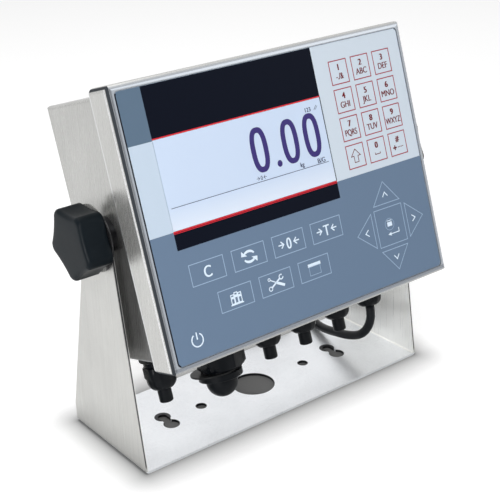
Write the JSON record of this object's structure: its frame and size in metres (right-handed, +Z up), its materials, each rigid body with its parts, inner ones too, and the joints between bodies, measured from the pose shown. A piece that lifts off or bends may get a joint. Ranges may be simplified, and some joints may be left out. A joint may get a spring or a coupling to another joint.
{
  "type": "weighing indicator",
  "caption": "Stainless steel weighing indicator with a screen and a pressed-film keypad, tilting between the arms of a bench bracket and held by clamp knobs.",
  "frame": {"origin": "centre of the cable hole in the base plate, on its underside", "axes": "+X along the panel to the reader's right, +Y away from the reader, +Z up"},
  "size_m": [0.3264, 0.3211, 0.2901],
  "materials": {
    "brushed_steel": "brushed stainless steel, vertical grain",
    "plated_steel": "turned and plated steel",
    "keypad_film": "printed polyester film, fine satin",
    "keys": "printed polyester film, fine satin",
    "switch_layer": "flexible circuit",
    "window": "clear hard-coated window",
    "screen": "lit screen",
    "board": "green circuit board",
    "terminal_plastic": "green moulded terminals",
    "seal_rubber": "black rubber",
    "gland_plastic": "black moulded nylon",
    "knob_plastic": "black moulded plastic, fine texture",
    "friction_plastic": "black friction washer",
    "cord_rubber": "black cable jacket",
    "plug_rubber": "black moulded plug with plated blades"
  },
  "bodies": {
    "bracket": {"bracket": "brushed_steel", "power_cord": "cord_rubber", "cord_coil": "cord_rubber", "power_plug": "plug_rubber"},
    "housing": {"front_cover": "brushed_steel", "keypad_film": "keypad_film", "switch_layer": "switch_layer", "display_window": "window", "screen_panel": "screen", "screen_frame": "plated_steel", "main_board": "board", "board_standoffs": "plated_steel", "terminal_blocks": "terminal_plastic", "power_supply": "board", "cover_gasket": "seal_rubber", "rear_housing": "brushed_steel", "cover_screws": "plated_steel", "screw_seals": "seal_rubber", "pivot_bosses": "plated_steel", "gland_bodies": "gland_plastic", "gland_nuts": "gland_plastic", "gland_seals": "seal_rubber", "blanking_pins": "gland_plastic", "gland_locknuts": "gland_plastic", "connector_body": "gland_plastic", "connector_ring": "plated_steel", "connector_cap": "gland_plastic"},
    "washers_left": {"washer_left": "plated_steel", "friction_left": "friction_plastic"},
    "washers_right": {"washer_right": "plated_steel", "friction_right": "friction_plastic"},
    "knob_left": {"knob_left": "knob_plastic", "stud_left": "plated_steel"},
    "knob_right": {"knob_right": "knob_plastic", "stud_right": "plated_steel"},
    "key_1": {"key_1": "keys"},
    "key_2": {"key_2": "keys"},
    "key_3": {"key_3": "keys"},
    "key_4": {"key_4": "keys"},
    "key_5": {"key_5": "keys"},
    "key_6": {"key_6": "keys"},
    "key_7": {"key_7": "keys"},
    "key_8": {"key_8": "keys"},
    "key_9": {"key_9": "keys"},
    "key_shift": {"key_shift": "keys"},
    "key_0": {"key_0": "keys"},
    "key_symbol": {"key_symbol": "keys"},
    "key_clear": {"key_clear": "keys"},
    "key_units": {"key_units": "keys"},
    "key_zero": {"key_zero": "keys"},
    "key_tare": {"key_tare": "keys"},
    "key_library": {"key_library": "keys"},
    "key_tools": {"key_tools": "keys"},
    "key_screen": {"key_screen": "keys"},
    "key_enter": {"key_enter": "keys"},
    "key_up": {"key_up": "keys"},
    "key_down": {"key_down": "keys"},
    "key_left": {"key_left": "keys"},
    "key_right": {"key_right": "keys"},
    "key_power": {"key_power": "keys"}
  },
  "joints": [
    {"name": "panel_tilt", "type": "hinge", "parent": "bracket", "child": "housing", "pos_m": [0, -0.007, 0.178], "axis": [-1, 0, 0], "range_deg": [-35, 60], "deforming": ["power_cord"]},
    {"name": "washer_slide_left", "type": "slide", "parent": "housing", "child": "washers_left", "axis": [-1, 0, 0], "range_m": [0, 0.00376]},
    {"name": "knob_turn_left", "type": "hinge", "parent": "washers_left", "child": "knob_left", "pos_m": [-0.15, -0.007, 0.178], "axis": [-1, 0, 0], "range_deg": [0, 1080]},
    {"name": "washer_slide_right", "type": "slide", "parent": "housing", "child": "washers_right", "axis": [1, 0, 0], "range_m": [0, 0.00376]},
    {"name": "knob_turn_right", "type": "hinge", "parent": "washers_right", "child": "knob_right", "pos_m": [0.15, -0.007, 0.178], "axis": [1, 0, 0], "range_deg": [0, 1080]},
    {"name": "press_key_1", "type": "slide", "parent": "housing", "child": "key_1", "axis": [0, 0.9537, -0.3007], "range_m": [0, 0.0003], "stiffness_N_per_m": 900, "springref_m": -0.0008},
    {"name": "press_key_2", "type": "slide", "parent": "housing", "child": "key_2", "axis": [0, 0.9537, -0.3007], "range_m": [0, 0.0003], "stiffness_N_per_m": 900, "springref_m": -0.0008},
    {"name": "press_key_3", "type": "slide", "parent": "housing", "child": "key_3", "axis": [0, 0.9537, -0.3007], "range_m": [0, 0.0003], "stiffness_N_per_m": 900, "springref_m": -0.0008},
    {"name": "press_key_4", "type": "slide", "parent": "housing", "child": "key_4", "axis": [0, 0.9537, -0.3007], "range_m": [0, 0.0003], "stiffness_N_per_m": 900, "springref_m": -0.0008},
    {"name": "press_key_5", "type": "slide", "parent": "housing", "child": "key_5", "axis": [0, 0.9537, -0.3007], "range_m": [0, 0.0003], "stiffness_N_per_m": 900, "springref_m": -0.0008},
    {"name": "press_key_6", "type": "slide", "parent": "housing", "child": "key_6", "axis": [0, 0.9537, -0.3007], "range_m": [0, 0.0003], "stiffness_N_per_m": 900, "springref_m": -0.0008},
    {"name": "press_key_7", "type": "slide", "parent": "housing", "child": "key_7", "axis": [0, 0.9537, -0.3007], "range_m": [0, 0.0003], "stiffness_N_per_m": 900, "springref_m": -0.0008},
    {"name": "press_key_8", "type": "slide", "parent": "housing", "child": "key_8", "axis": [0, 0.9537, -0.3007], "range_m": [0, 0.0003], "stiffness_N_per_m": 900, "springref_m": -0.0008},
    {"name": "press_key_9", "type": "slide", "parent": "housing", "child": "key_9", "axis": [0, 0.9537, -0.3007], "range_m": [0, 0.0003], "stiffness_N_per_m": 900, "springref_m": -0.0008},
    {"name": "press_key_shift", "type": "slide", "parent": "housing", "child": "key_shift", "axis": [0, 0.9537, -0.3007], "range_m": [0, 0.0003], "stiffness_N_per_m": 900, "springref_m": -0.0008},
    {"name": "press_key_0", "type": "slide", "parent": "housing", "child": "key_0", "axis": [0, 0.9537, -0.3007], "range_m": [0, 0.0003], "stiffness_N_per_m": 900, "springref_m": -0.0008},
    {"name": "press_key_symbol", "type": "slide", "parent": "housing", "child": "key_symbol", "axis": [0, 0.9537, -0.3007], "range_m": [0, 0.0003], "stiffness_N_per_m": 900, "springref_m": -0.0008},
    {"name": "press_key_clear", "type": "slide", "parent": "housing", "child": "key_clear", "axis": [0, 0.9537, -0.3007], "range_m": [0, 0.0003], "stiffness_N_per_m": 900, "springref_m": -0.0008},
    {"name": "press_key_units", "type": "slide", "parent": "housing", "child": "key_units", "axis": [0, 0.9537, -0.3007], "range_m": [0, 0.0003], "stiffness_N_per_m": 900, "springref_m": -0.0008},
    {"name": "press_key_zero", "type": "slide", "parent": "housing", "child": "key_zero", "axis": [0, 0.9537, -0.3007], "range_m": [0, 0.0003], "stiffness_N_per_m": 900, "springref_m": -0.0008},
    {"name": "press_key_tare", "type": "slide", "parent": "housing", "child": "key_tare", "axis": [0, 0.9537, -0.3007], "range_m": [0, 0.0003], "stiffness_N_per_m": 900, "springref_m": -0.0008},
    {"name": "press_key_library", "type": "slide", "parent": "housing", "child": "key_library", "axis": [0, 0.9537, -0.3007], "range_m": [0, 0.0003], "stiffness_N_per_m": 900, "springref_m": -0.0008},
    {"name": "press_key_tools", "type": "slide", "parent": "housing", "child": "key_tools", "axis": [0, 0.9537, -0.3007], "range_m": [0, 0.0003], "stiffness_N_per_m": 900, "springref_m": -0.0008},
    {"name": "press_key_screen", "type": "slide", "parent": "housing", "child": "key_screen", "axis": [0, 0.9537, -0.3007], "range_m": [0, 0.0003], "stiffness_N_per_m": 900, "springref_m": -0.0008},
    {"name": "press_key_enter", "type": "slide", "parent": "housing", "child": "key_enter", "axis": [0, 0.9537, -0.3007], "range_m": [0, 0.0003], "stiffness_N_per_m": 900, "springref_m": -0.0008},
    {"name": "press_key_up", "type": "slide", "parent": "housing", "child": "key_up", "axis": [0, 0.9537, -0.3007], "range_m": [0, 0.0003], "stiffness_N_per_m": 900, "springref_m": -0.0008},
    {"name": "press_key_down", "type": "slide", "parent": "housing", "child": "key_down", "axis": [0, 0.9537, -0.3007], "range_m": [0, 0.0003], "stiffness_N_per_m": 900, "springref_m": -0.0008},
    {"name": "press_key_left", "type": "slide", "parent": "housing", "child": "key_left", "axis": [0, 0.9537, -0.3007], "range_m": [0, 0.0003], "stiffness_N_per_m": 900, "springref_m": -0.0008},
    {"name": "press_key_right", "type": "slide", "parent": "housing", "child": "key_right", "axis": [0, 0.9537, -0.3007], "range_m": [0, 0.0003], "stiffness_N_per_m": 900, "springref_m": -0.0008},
    {"name": "press_key_power", "type": "slide", "parent": "housing", "child": "key_power", "axis": [0, 0.9537, -0.3007], "range_m": [0, 0.0003], "stiffness_N_per_m": 900, "springref_m": -0.0008}
  ],
  "couplings": [
    {"joint": "washer_slide_left", "follows": "knob_turn_left", "m_per_rad": 0.00019894},
    {"joint": "washer_slide_right", "follows": "knob_turn_right", "m_per_rad": 0.00019894}
  ]
}
